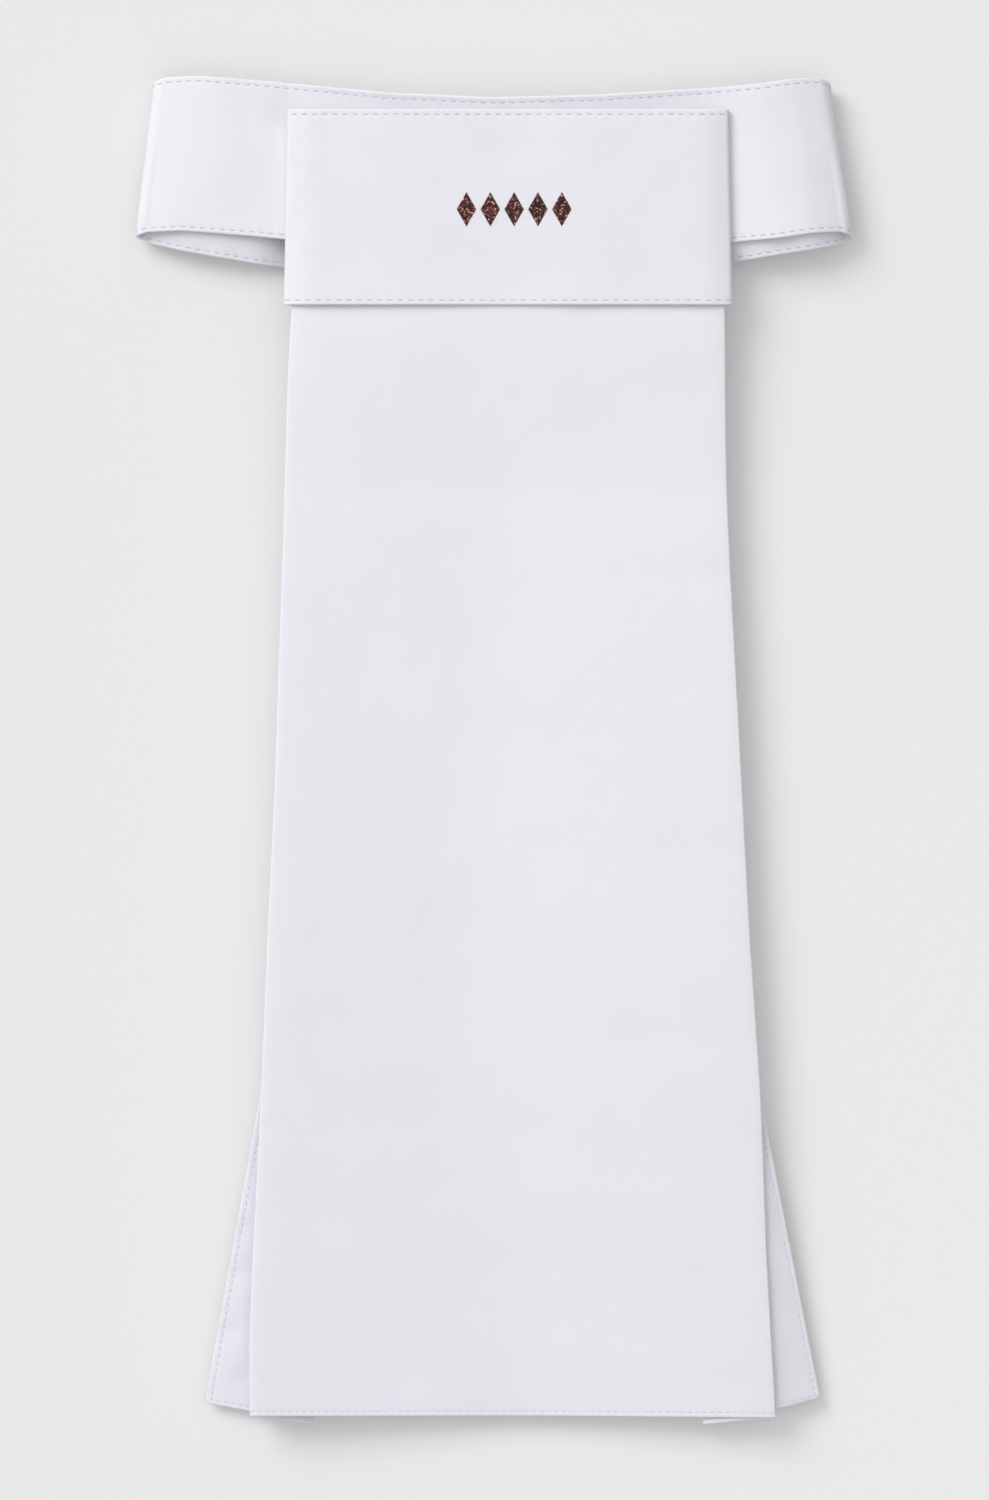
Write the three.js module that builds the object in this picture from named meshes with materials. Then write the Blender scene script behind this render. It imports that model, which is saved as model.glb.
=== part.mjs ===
// A pre-tied riding stock tie of white cotton, lying flat on its back.
// Millimetres. +X is to the right seen from above, +Y runs from the hem to the neck band, +Z is up.
// The origin is on the surface that the tie lies on, below the middle of its outline.
import * as THREE from "three";

// Cloth, and the clearance between pieces that lie on each other.
const CLOTH = 1.0;
const GAP = 0.3;
const STEP_UP = CLOTH + GAP;

// Neck band: a strip joined into a loop and flattened, so it has a back layer and a front layer.
const BAND_WIDTH = 42;
const BAND_HALF_LENGTH = 96.6;
const BAND_HOLLOW = 4.3;
const BAND_END_RADIUS = 3.4;
// The front layer swells between its ends and the cuff, which presses it flat inside BAND_PRESSED_X.
const BAND_SHOULDER_ANGLE = 0.3;
const BAND_SWELL_SLOPE = 0.04;
const BAND_PRESSED_X = 58;
const BAND_LEAN_LEFT = THREE.MathUtils.degToRad(6.8);
const BAND_LEAN_RIGHT = THREE.MathUtils.degToRad(8.2);
// Lower edges of its front and back layers, from the left end to the right end.
const BAND_EDGES = [
  { x: -96.6, front: 138.4, back: 138.4 },
  { x: -94.6, front: 139.0, back: 137.6 },
  { x: -90.5, front: 139.6, back: 136.4 },
  { x: -83.8, front: 139.8, back: 134.9 },
  { x: -73.7, front: 139.0, back: 133.1 },
  { x: -56.6, front: 137.5, back: 130.3 },
  { x: -30.0, front: 135.0, back: 128.1 },
  { x: 0.0, front: 133.7, back: 127.0 },
  { x: 30.0, front: 134.5, back: 128.1 },
  { x: 59.3, front: 136.6, back: 131.2 },
  { x: 76.0, front: 138.0, back: 133.7 },
  { x: 85.5, front: 138.8, back: 135.1 },
  { x: 92.0, front: 139.1, back: 136.2 },
  { x: 96.6, front: 137.5, back: 137.5 },
];
// The outer end of the strip stops here, and the inner end passes over it and stops further on.
const OUTER_END_X = 20;
const RAMP_FOOT_X = 38;
const RAMP_ANGLE = 0.35;
const INNER_END_X = -20;

// Touch fastener between the two ends of the strip.
const FASTENER = { width: 36, height: 30, y: 148 };

// Cuff: a wide folded band round the top of the bib, where the knot would be.
// A stock pin goes through the flat area between its bottom edge and pinTopY.
const CUFF = { centreX: 4.15, width: 119.9, bottomY: 120.0, pinTopY: 138.0, topY: 172.3, topWidth: 117.8 };

// Bib: one sheet with a pleat turned under along each side.
const BIB_TOP = 168;
const BIB_HEM = -178.5;
const PLEAT_RADIUS = STEP_UP / 2;
const FRONT_STEPS = 12;
const BEND_STEPS = 4;

// The two turned-under layers on each side end at these lines, which fan out towards the hem.
// top and hem are places across the tie; below is how far the line's lower end passes the front hem.
const FOLD_LINES = {
  leftEdge: { top: -15.9, hem: -78.0, below: -2.9 },
  leftInner: { top: -5.4, hem: -48.9, below: 2.7 },
  rightInner: { top: 6.2, hem: 56.4, below: 2.5 },
  rightEdge: { top: 19.5, hem: 88.0, below: -4.8 },
};

// Heights in the cuff: the cuff's back lies on the band, and the bib's three layers lie on that.
const BAND_FRONT_Z = 2 * STEP_UP + CLOTH + BAND_HOLLOW;
const CUFF_BACK_Z = BAND_FRONT_Z + STEP_UP;
const BIB_LOW_Z = CUFF_BACK_Z + STEP_UP;
const BIB_FRONT_Z = BIB_LOW_Z + 2 * STEP_UP;
const CUFF_FRONT_Z = BIB_FRONT_Z + STEP_UP;

// Sections of the bib from its top to the front hem. left and right are the outer folds of the
// front panel. low and front are the undersides of the lowest layer and of the front panel at its
// folds. sag is how far the front panel dips halfway across. Where the free edges of the lowest
// layer stand off the surface, leftLift and rightLift say how far.
const BIB_SECTIONS = [
  { y: BIB_TOP, left: -53.0, right: 60.8, low: BIB_LOW_Z, front: BIB_FRONT_Z, sag: 0.0 },
  { y: 138, left: -53.8, right: 61.6, low: BIB_LOW_Z, front: BIB_FRONT_Z, sag: 0.0 },
  { y: 119.5, left: -54.4, right: 62.2, low: BIB_LOW_Z, front: BIB_FRONT_Z, sag: 0.0 },
  { y: 108, left: -55.1, right: 62.2, low: 8.6, front: 11.4, sag: 0.2 },
  { y: 96, left: -55.6, right: 62.3, low: 6.0, front: 10.3, sag: 1.0 },
  { y: 84, left: -55.9, right: 62.4, low: 3.9, front: 9.4, sag: 1.7 },
  { y: 70, left: -56.4, right: 62.7, low: 2.1, front: 8.6, sag: 2.4 },
  { y: 56, left: -56.7, right: 63.3, low: 1.0, front: 8.1, sag: 2.9 },
  { y: 40, left: -57.3, right: 64.1, low: 0.3, front: 7.7, sag: 3.2 },
  { y: 20, left: -58.0, right: 65.2, low: 0.0, front: 7.4, sag: 3.4 },
  { y: -10, left: -59.0, right: 66.8, low: 0.0, front: 7.3, sag: 3.5, rightLift: 0.4 },
  { y: -50, left: -60.9, right: 68.9, low: 0.0, front: 7.2, sag: 3.6, rightLift: 1.2 },
  { y: -92, left: -62.6, right: 71.8, low: 0.0, front: 7.2, sag: 3.7, rightLift: 2.0 },
  { y: -121, left: -64.1, right: 72.9, low: 0.0, front: 7.1, sag: 3.8, leftLift: 0.2, rightLift: 2.2 },
  { y: -135, left: -64.9, right: 73.4, low: 0.0, front: 7.0, sag: 3.8, leftLift: 0.3, rightLift: 2.1 },
  { y: -160, left: -65.8, right: 74.8, low: 0.0, front: 6.9, sag: 3.9, leftLift: 0.9, rightLift: 1.7 },
  { y: BIB_HEM, left: -65.6, right: 75.9, low: 0.0, front: 6.8, sag: 4.0, leftLift: 1.4, rightLift: 1.4 },
];

// Printed row of lozenges in the middle of the cuff.
const LOZENGE = { count: 5, width: 5.2, height: 9.2, pitch: 6.4, thickness: 0.4, x: 5.4, y: 145.4 };

function material(color, roughness, metalness) {
  return new THREE.MeshStandardMaterial({ color, roughness, metalness, side: THREE.FrontSide });
}

const cotton = material("#e9e9ef", 0.85, 0.0);
const fastenerTape = material("#e2e2e6", 0.95, 0.0);
const glitterPrint = material("#4a2a26", 0.45, 0.6);

function mix(a, b, share) {
  return a + (b - a) * share;
}

// A point on the middle of the cloth, going in direction heading in the XZ plane. Its normal is on
// the left of that direction.
function clothPoint(x, z, heading) {
  return { x, z, normalX: -Math.sin(heading), normalZ: Math.cos(heading) };
}

// Walks the middle of a strip of cloth through straight runs and arcs in the XZ plane.
class StripPath {
  constructor(x, z, heading, share) {
    this.x = x;
    this.z = z;
    this.heading = heading;
    this.points = [{ ...clothPoint(x, z, heading), share }];
  }

  straight(length, steps, share) {
    for (let i = 1; i <= steps; i += 1) {
      this.x += (Math.cos(this.heading) * length) / steps;
      this.z += (Math.sin(this.heading) * length) / steps;
      this.points.push({ ...clothPoint(this.x, this.z, this.heading), share });
    }
    return this;
  }

  // turn is positive to the left. share runs from its last value to the one given.
  arc(radius, turn, steps, share) {
    const startShare = this.points.at(-1).share;
    const chord = 2 * radius * Math.sin(Math.abs(turn) / steps / 2);
    for (let i = 1; i <= steps; i += 1) {
      this.heading += turn / steps / 2;
      this.x += Math.cos(this.heading) * chord;
      this.z += Math.sin(this.heading) * chord;
      this.heading += turn / steps / 2;
      const stepShare = mix(startShare, share, i / steps);
      this.points.push({ ...clothPoint(this.x, this.z, this.heading), share: stepShare });
    }
    return this;
  }
}

// Builds a closed wall of cloth round a grid of middle points. Each row holds points with a
// position and a normal. A looped wall joins its last row to its first.
function clothWall(rows, looped) {
  const columns = rows[0].length;
  const positions = [];
  for (const row of rows) {
    for (const point of row) {
      const offset = point.normal.clone().multiplyScalar(CLOTH / 2);
      positions.push(point.position.clone().add(offset), point.position.clone().sub(offset));
    }
  }
  const faceUp = (row, column) => 2 * ((row % rows.length) * columns + column);
  const faceDown = (row, column) => faceUp(row, column) + 1;
  const triangles = [];
  const quad = (a, b, c, d) => triangles.push([a, b, c], [a, c, d]);
  const lastRow = looped ? rows.length : rows.length - 1;
  for (let i = 0; i < lastRow; i += 1) {
    for (let j = 0; j < columns - 1; j += 1) {
      quad(faceUp(i, j), faceUp(i + 1, j), faceUp(i + 1, j + 1), faceUp(i, j + 1));
      quad(faceDown(i, j), faceDown(i, j + 1), faceDown(i + 1, j + 1), faceDown(i + 1, j));
    }
    quad(faceUp(i, 0), faceDown(i, 0), faceDown(i + 1, 0), faceUp(i + 1, 0));
    const j = columns - 1;
    quad(faceUp(i, j), faceUp(i + 1, j), faceDown(i + 1, j), faceDown(i, j));
  }
  if (!looped) {
    for (let j = 0; j < columns - 1; j += 1) {
      const i = rows.length - 1;
      quad(faceUp(0, j), faceUp(0, j + 1), faceDown(0, j + 1), faceDown(0, j));
      quad(faceUp(i, j), faceDown(i, j), faceDown(i, j + 1), faceUp(i, j + 1));
    }
  }
  return closedGeometry(positions, triangles);
}

// Turns the triangles outwards if they enclose a negative volume.
function closedGeometry(positions, triangles) {
  let volume = 0;
  for (const [a, b, c] of triangles) {
    volume += positions[a].dot(new THREE.Vector3().crossVectors(positions[b], positions[c]));
  }
  const index = triangles.flatMap(([a, b, c]) => (volume > 0 ? [a, b, c] : [a, c, b]));
  const geometry = new THREE.BufferGeometry();
  const numbers = positions.flatMap((p) => p.toArray());
  geometry.setAttribute("position", new THREE.Float32BufferAttribute(numbers, 3));
  geometry.setIndex(index);
  geometry.computeVertexNormals();
  return geometry;
}

function namedMesh(name, geometry, meshMaterial) {
  const mesh = new THREE.Mesh(geometry, meshMaterial);
  mesh.name = name;
  return mesh;
}

// The lower edge of a layer of the band at x, straight between the rows of BAND_EDGES.
function bandEdge(layer, x) {
  const next = Math.max(1, BAND_EDGES.findIndex((row) => row.x >= x));
  const [from, to] = BAND_EDGES.slice(next - 1, next + 1);
  return mix(from[layer], to[layer], (x - from.x) / (to.x - from.x));
}

// The strip starts at its outer end on the surface, turns up at the left, crosses the front, turns
// down at the right and climbs over the fastener to its inner end. share is 0 in the back layer and
// 1 in the front layer, which lies a little higher up the tie. The swell's radius is the one that
// joins the round end to the pressed stretch.
function neckBand() {
  const endCentreX = BAND_HALF_LENGTH - CLOTH / 2 - BAND_END_RADIUS;
  const endRise = BAND_END_RADIUS * (1 + Math.cos(BAND_SHOULDER_ANGLE));
  const swellRun = endCentreX + BAND_END_RADIUS * Math.sin(BAND_SHOULDER_ANGLE) - BAND_PRESSED_X;
  const slope = Math.tan(BAND_SWELL_SLOPE);
  const arcRun = Math.sin(BAND_SHOULDER_ANGLE) + 2 * Math.sin(BAND_SWELL_SLOPE);
  const arcRise = 2 * Math.cos(BAND_SWELL_SLOPE) - Math.cos(BAND_SHOULDER_ANGLE) - 1;
  const swellRadius = (BAND_FRONT_Z - endRise + swellRun * slope) / (arcRise + arcRun * slope);
  const slopeLength = (swellRun - swellRadius * arcRun) / Math.cos(BAND_SWELL_SLOPE);
  const swellTurn = BAND_SHOULDER_ANGLE + BAND_SWELL_SLOPE;
  const endTurn = BAND_SHOULDER_ANGLE - Math.PI;
  const rampRadius = (2 * STEP_UP) / (2 * (1 - Math.cos(RAMP_ANGLE)));
  const rampRun = 2 * rampRadius * Math.sin(RAMP_ANGLE);

  const path = new StripPath(OUTER_END_X, CLOTH / 2, Math.PI, 0)
    .straight(OUTER_END_X + endCentreX, 10, 0)
    .arc(BAND_END_RADIUS, endTurn, 9, 1)
    .arc(swellRadius, -swellTurn, 5, 1)
    .straight(slopeLength, 1, 1)
    .arc(swellRadius, BAND_SWELL_SLOPE, 1, 1)
    .straight(2 * BAND_PRESSED_X, 12, 1)
    .arc(swellRadius, BAND_SWELL_SLOPE, 1, 1)
    .straight(slopeLength, 1, 1)
    .arc(swellRadius, -swellTurn, 5, 1)
    .arc(BAND_END_RADIUS, endTurn, 9, 0)
    .straight(endCentreX - RAMP_FOOT_X, 5, 0)
    .arc(rampRadius, -RAMP_ANGLE, 3, 0)
    .arc(rampRadius, RAMP_ANGLE, 3, 0)
    .straight(RAMP_FOOT_X - rampRun - INNER_END_X, 4, 0);

  const rows = path.points.map((point) => {
    const bottomY = mix(bandEdge("back", point.x), bandEdge("front", point.x), point.share);
    const lean = (point.x < 0 ? BAND_LEAN_LEFT : BAND_LEAN_RIGHT) * (point.x / BAND_HALF_LENGTH);
    const normal = new THREE.Vector3(point.normalX, 0, point.normalZ);
    return [0, 0.5, 1].map((across) => ({
      position: new THREE.Vector3(
        point.x - Math.sin(lean) * BAND_WIDTH * across,
        bottomY + Math.cos(lean) * BAND_WIDTH * across,
        point.z,
      ),
      normal,
    }));
  });
  return namedMesh("neck_band", clothWall(rows, false), cotton);
}

function backFastener() {
  const tape = new THREE.BoxGeometry(FASTENER.width, FASTENER.height, CLOTH);
  const mesh = namedMesh("back_fastener", tape, fastenerTape);
  mesh.position.set(0, FASTENER.y, STEP_UP + CLOTH / 2);
  return mesh;
}

// The cuff's ring is a flattened tube with half-round sides, a little narrower at its top.
function cuff() {
  const radius = (CUFF_FRONT_Z - CUFF_BACK_Z) / 2;
  const flat = CUFF.width - CLOTH - 2 * radius;
  const path = new StripPath(flat / 2, CUFF_BACK_Z + CLOTH / 2, Math.PI, 0)
    .straight(flat, 6, 0)
    .arc(radius, -Math.PI, 8, 0)
    .straight(flat, 6, 0)
    .arc(radius, -Math.PI, 8, 0);
  const taper = CUFF.topWidth / CUFF.width;
  const rows = path.points.slice(0, -1).map((point) => {
    const normal = new THREE.Vector3(point.normalX, 0, point.normalZ);
    return [CUFF.bottomY, CUFF.pinTopY, CUFF.topY].map((y) => {
      const across = (y - CUFF.bottomY) / (CUFF.topY - CUFF.bottomY);
      return {
        position: new THREE.Vector3(CUFF.centreX + point.x * mix(1, taper, across), y, point.z),
        normal,
      };
    });
  });
  return namedMesh("cuff", clothWall(rows, true), cotton);
}

// One section across the bib: from the left free edge in to the left inner fold, back out to the
// left outer fold, across the front panel, and the same in mirror image on the right. The pleats
// are pressed, so the turned-under layer lies close to its neighbour at each of its folds.
function bibSection(section) {
  const { leftLift = 0, rightLift = 0 } = section;
  const share = (BIB_TOP - section.y) / (BIB_TOP - BIB_HEM);
  const line = ({ top, hem, below }) => ({ x: mix(top, hem, share), y: section.y - below * share });
  const lowZ = section.low + CLOTH / 2;
  const frontZ = section.front + CLOTH / 2;
  const foldReach = PLEAT_RADIUS + CLOTH / 2;
  const foldedAt = (fold, x, z) => ({ x, y: fold.y, z });
  const points = [];

  const add = (x, y, z, heading) => {
    const { normalX, normalZ } = clothPoint(x, z, heading);
    points.push({ position: new THREE.Vector3(x, y, z), normal: new THREE.Vector3(normalX, 0, normalZ) });
  };
  // liftFrom and liftTo raise the ends of a run, whose middle stays where it is.
  const run = (from, to, heading, liftFrom = 0, liftTo = 0) => {
    for (const part of [0, 0.5, 1]) {
      const lift = Math.max(0, 1 - 2 * part) * liftFrom + Math.max(0, 2 * part - 1) * liftTo;
      add(mix(from.x, to.x, part), mix(from.y, to.y, part), mix(from.z, to.z, part) + lift, heading);
    }
  };
  // A half turn that starts at a point of the cloth; turn is 1 to the left and -1 to the right.
  const bend = (from, heading, turn) => {
    const centreZ = from.z + turn * PLEAT_RADIUS * Math.cos(heading);
    for (let i = 1; i < BEND_STEPS; i += 1) {
      const angle = heading + (turn * Math.PI * i) / BEND_STEPS;
      const reach = turn * PLEAT_RADIUS;
      add(from.x + reach * Math.sin(angle), from.y, centreZ - reach * Math.cos(angle), angle);
    }
  };

  const edgeLeft = line(FOLD_LINES.leftEdge);
  const edgeRight = line(FOLD_LINES.rightEdge);
  const innerLeft = line(FOLD_LINES.leftInner);
  const innerRight = line(FOLD_LINES.rightInner);
  const innerLeftX = innerLeft.x - foldReach;
  const innerRightX = innerRight.x + foldReach;
  const outer = { y: section.y };
  const outerLeftX = section.left + foldReach;
  const outerRightX = section.right - foldReach;
  const lowLeft = foldedAt(innerLeft, innerLeftX, lowZ);
  const lowRight = foldedAt(innerRight, innerRightX, lowZ);
  const turnedLeft = foldedAt(innerLeft, innerLeftX, lowZ + STEP_UP);
  const turnedRight = foldedAt(innerRight, innerRightX, lowZ + STEP_UP);
  const underLeft = foldedAt(outer, outerLeftX, frontZ - STEP_UP);
  const underRight = foldedAt(outer, outerRightX, frontZ - STEP_UP);

  run(foldedAt(edgeLeft, edgeLeft.x, lowZ), lowLeft, 0, leftLift, 0);
  bend(lowLeft, 0, 1);
  run(turnedLeft, underLeft, Math.PI);
  bend(underLeft, Math.PI, -1);
  for (let i = 0; i <= FRONT_STEPS; i += 1) {
    const part = i / FRONT_STEPS;
    add(mix(outerLeftX, outerRightX, part), section.y, frontZ - section.sag * Math.sin(Math.PI * part), 0);
  }
  bend(foldedAt(outer, outerRightX, frontZ), 0, -1);
  run(underRight, turnedRight, Math.PI);
  bend(turnedRight, Math.PI, 1);
  run(lowRight, foldedAt(edgeRight, edgeRight.x, lowZ), 0, 0, rightLift);
  return points;
}

function bib() {
  return namedMesh("bib", clothWall(BIB_SECTIONS.map(bibSection), false), cotton);
}

function lozenge(number) {
  const outline = new THREE.Shape();
  outline.moveTo(-LOZENGE.width / 2, 0);
  outline.lineTo(0, -LOZENGE.height / 2);
  outline.lineTo(LOZENGE.width / 2, 0);
  outline.lineTo(0, LOZENGE.height / 2);
  outline.closePath();
  const plate = new THREE.ExtrudeGeometry(outline, { depth: LOZENGE.thickness, bevelEnabled: false });
  const mesh = namedMesh(`lozenge_${number}`, plate, glitterPrint);
  const fromMiddle = number - (LOZENGE.count + 1) / 2;
  mesh.position.set(LOZENGE.x + fromMiddle * LOZENGE.pitch, LOZENGE.y, CUFF_FRONT_Z + STEP_UP);
  return mesh;
}

const stockTie = new THREE.Group();
stockTie.add(neckBand(), backFastener(), cuff(), bib());
for (let number = 1; number <= LOZENGE.count; number += 1) {
  stockTie.add(lozenge(number));
}

export default stockTie;
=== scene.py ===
"""A pre-tied riding stock tie of white cotton, lying flat: its cloth, seams and printed motif.

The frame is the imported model's: +X to the right and +Y up the tie seen from above, +Z up from the
surface it lies on. Shapes are worked out in millimetres and become metres as meshes.
"""
import math
from collections import namedtuple

import bpy
import numpy as np
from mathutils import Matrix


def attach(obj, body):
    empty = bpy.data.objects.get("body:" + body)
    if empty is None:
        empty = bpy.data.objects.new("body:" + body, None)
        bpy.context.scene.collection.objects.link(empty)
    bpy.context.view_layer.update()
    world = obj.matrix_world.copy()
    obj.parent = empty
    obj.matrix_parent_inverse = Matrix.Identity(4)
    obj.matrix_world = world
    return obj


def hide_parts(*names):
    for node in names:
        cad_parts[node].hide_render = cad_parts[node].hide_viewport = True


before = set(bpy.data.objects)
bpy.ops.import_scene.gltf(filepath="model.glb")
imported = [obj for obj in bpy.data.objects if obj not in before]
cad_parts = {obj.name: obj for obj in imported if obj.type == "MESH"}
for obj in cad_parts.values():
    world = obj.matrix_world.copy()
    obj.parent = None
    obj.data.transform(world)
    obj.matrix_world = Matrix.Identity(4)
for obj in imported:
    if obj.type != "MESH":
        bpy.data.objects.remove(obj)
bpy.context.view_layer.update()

MM = 0.001

# Camera: straight above the tie, with the photo's frame.
PHOTO_HEIGHT_PX = 1500
PIXEL = 0.27
CAMERA_HEIGHT = 2400.0
CAMERA_X = 0.135
CAMERA_Y = 0.135
SENSOR = 36.0

# Light: a large soft source beyond the top left corner, and a dome that is brightest overhead. The
# floor glows a little, as a lit table does, which keeps the shadows pale.
FLOOR_SIZE = 6000.0
FLOOR_LEVEL = 0.692
FLOOR_GAIN = 0.185
FLOOR_GLOW = 0.100
KEY_DIRECTION = (-0.540, 0.575, 0.615)
KEY_DISTANCE = 2600.0
KEY_SIZE = 1600.0
KEY_POWER = 38.0
DOME_OVERHEAD = 1.07
DOME_LEAN = 0.12
DOME_LEAST = 0.02

# Cloth of each piece, and the clearance between layers of one piece.
FALL_CLOTH = 0.45
BAND_CLOTH = 0.80
CUFF_CLOTH = 0.70
TAPE_CLOTH = 0.90
LAYER_GAP = 0.10

# How far light spreads inside the cotton, and its colours where it is lightest and darkest.
CLOTH_SCATTER = 0.5
BAND_LIGHT = (0.803, 0.798, 0.838, 1)
BAND_DARK = (0.758, 0.748, 0.798, 1)
FALL_LIGHT = (0.820, 0.825, 0.867, 1)
FALL_DARK = (0.770, 0.775, 0.833, 1)
# Thread colours, darker and more violet than the cloth: painted shade of the stitches pulled into the cloth,
# stronger on the band than on the fall.
BAND_THREAD_PAINTED_SHADE_LIGHT = (0.71, 0.69, 0.79, 1)
BAND_THREAD_PAINTED_SHADE_DARK = (0.63, 0.61, 0.72, 1)
FALL_THREAD_PAINTED_SHADE_LIGHT = (0.80, 0.79, 0.85, 1)
FALL_THREAD_PAINTED_SHADE_DARK = (0.73, 0.72, 0.80, 1)

# Soft waves of the cloth: height, size, and the seed of their random directions.
Waves = namedtuple("Waves", "height size seed")
BAND_FRONT_WAVES = Waves(0.12, 26.0, 11)
BAND_BACK_WAVES = Waves(0.05, 9.0, 12)
CUFF_WAVES = Waves(0.06, 22.0, 5)
PANEL_WAVES = Waves(0.05, 30.0, 3)
PANEL_SMALL_WAVES = Waves(0.02, 12.0, 4)
WING_WAVES = Waves(0.16, 24.0, 8)

# Steps of the grids across the cloth, away from the edges.
STRIP_SPACING = 2.2
FALL_SPACING = 1.9
TAPE_SPACING = 1.5

# Seams: thread of this radius, laid in a shallow groove at this distance from the edge, with a
# stitch to each pitch. The cloth puffs up between the stitches, not at its rounded edge.
Seam = namedtuple("Seam", "inset pitch thread")
BAND_SEAM = Seam(1.3, 2.65, 0.15)
CUFF_SEAM = Seam(1.3, 2.75, 0.14)
FALL_SEAM = Seam(1.35, 2.00, 0.13)
TAPE_SEAM = Seam(1.6, 2.20, 0.15)
GROOVE_DEPTH = 0.07
GROOVE_REACH = 0.35
PUFF_HEIGHT = 0.16
PUFF_REACH = 0.9
PUFF_LEAST_THICKNESS = 0.6
SEAM_LINE = 6
ALLOWANCE_WIDTH = 7.0
ALLOWANCE_RISE = 0.08

# A stitch: its half length as a share of the pitch, and the heights of its middle over the cloth and
# of its drop to each end, in radii of its thread.
STITCH_HALF_LENGTH = 0.31
STITCH_HEIGHT = 0.55
STITCH_DROP = 1.35

# Neck band: a strip joined into a flattened loop with a back layer and a front layer. The lowest
# part of the back layer curls down a little, and the top of the front layer up behind the cuff.
STEP_UP = 1.3
BAND_WIDTH = 42.0
BAND_HALF_LENGTH = 96.6
BAND_FRONT_Z = 8.5
BAND_BACK_Z = 0.75
BAND_END_RADIUS = 3.4
BAND_SHOULDER_ANGLE = 0.17
BAND_SWELL_SLOPE = 0.025
BAND_PRESSED_X = 58.0
BAND_LEAN_LEFT = math.radians(6.8)
BAND_LEAN_RIGHT = math.radians(8.2)
BAND_BACK_CURL = 1.3
BAND_TWIST = 0.4
BAND_TOP_CURL = 0.8
BAND_TOP_CURL_WIDTH = 3.4
BAND_CURL_FROM_CUFF = (48.0, 64.0)
BAND_HANGING_WIDTH = 6.0
BAND_BACK_RISE_ACROSS = (36.0, 10.0)
OUTER_END_X = 20.0
INNER_END_X = -20.0
RAMP_FOOT_X = 38.0
RAMP_ANGLE = 0.35

# Lower edges of the band's front and back layers, from its left end to its right end, and how far
# the front layer and the lower part of the back layer are raised. A table's values are smoothed
# over its reach.
BandEdge = namedtuple("BandEdge", "x front back front_rise back_rise")
BAND_EDGES = [
    BandEdge(-96.6, 139.2, 137.5, -0.7, 2.6),
    BandEdge(-94.6, 139.4, 137.1, -0.6, 3.6),
    BandEdge(-90.5, 139.6, 136.1, -0.4, 5.0),
    BandEdge(-83.8, 139.8, 134.5, -0.2, 6.0),
    BandEdge(-73.7, 139.0, 132.7, 0.0, 6.3),
    BandEdge(-64.0, 138.2, 131.1, 0.0, 5.2),
    BandEdge(-56.6, 137.5, 130.2, 0.0, 2.0),
    BandEdge(-45.0, 136.4, 129.3, 0.0, 0.0),
    BandEdge(-30.0, 135.0, 128.1, 0.0, 0.0),
    BandEdge(0.0, 133.7, 127.0, 0.0, 0.0),
    BandEdge(30.0, 134.5, 128.1, 0.0, 0.0),
    BandEdge(50.0, 135.7, 130.1, 0.0, 0.5),
    BandEdge(58.0, 136.2, 130.7, 0.0, 4.0),
    BandEdge(64.0, 136.6, 131.5, 0.0, 6.2),
    BandEdge(68.0, 137.0, 132.0, 0.5, 6.8),
    BandEdge(76.0, 137.6, 133.3, 2.0, 8.3),
    BandEdge(85.5, 139.0, 134.7, 2.5, 9.2),
    BandEdge(92.0, 139.5, 136.0, 1.7, 7.0),
    BandEdge(96.6, 139.3, 136.8, 0.6, 3.6),
]
BAND_EDGE_REACH = 2.0

# A dent in the band beside the cuff's top left corner, with its reach along x and y.
BAND_DENT_X = -55.5
BAND_DENT_Y = 170.0
BAND_DENT_DEPTH = 1.2
BAND_DENT_REACH = (5.0, 6.0)

# Touch fastener between the ends of the strip.
TAPE_WIDTH = 36.0
TAPE_HEIGHT = 30.0
TAPE_Y = 148.0
TAPE_Z = 1.8

# Cuff: a wide folded band round the top of the fall. Its front rises from the folds at its sides
# over their reach, dips near its middle and flares a little at its lower edge.
CUFF_CENTRE_X = 3.8
CUFF_WIDTH = 120.6
CUFF_TOP_WIDTH = 118.5
CUFF_BOTTOM_Y = 119.7
CUFF_TOP_Y = 172.3
CUFF_BACK_Z = 9.48
CUFF_FRONT_Z = 12.40
CUFF_SIDE_RADIUS = 0.95
CUFF_SIDE_REACH = 7.0
CUFF_SIDE_POWER = 2.0
CUFF_FLARE = 0.4
CUFF_FLARE_REACH = 14.0
CUFF_DIP = 0.55
CUFF_DIP_X = 2.0
CUFF_DIP_REACH = 15.0

# Faint puckers on the cuff's front, nearly level: height, pitch, slope, and place and reach along x.
PUCKER_HEIGHT = 0.04
PUCKER_PITCH = 9.0
PUCKER_SLOPE = 0.12
PUCKER_X = 8.0
PUCKER_REACH = 20.0

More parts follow.
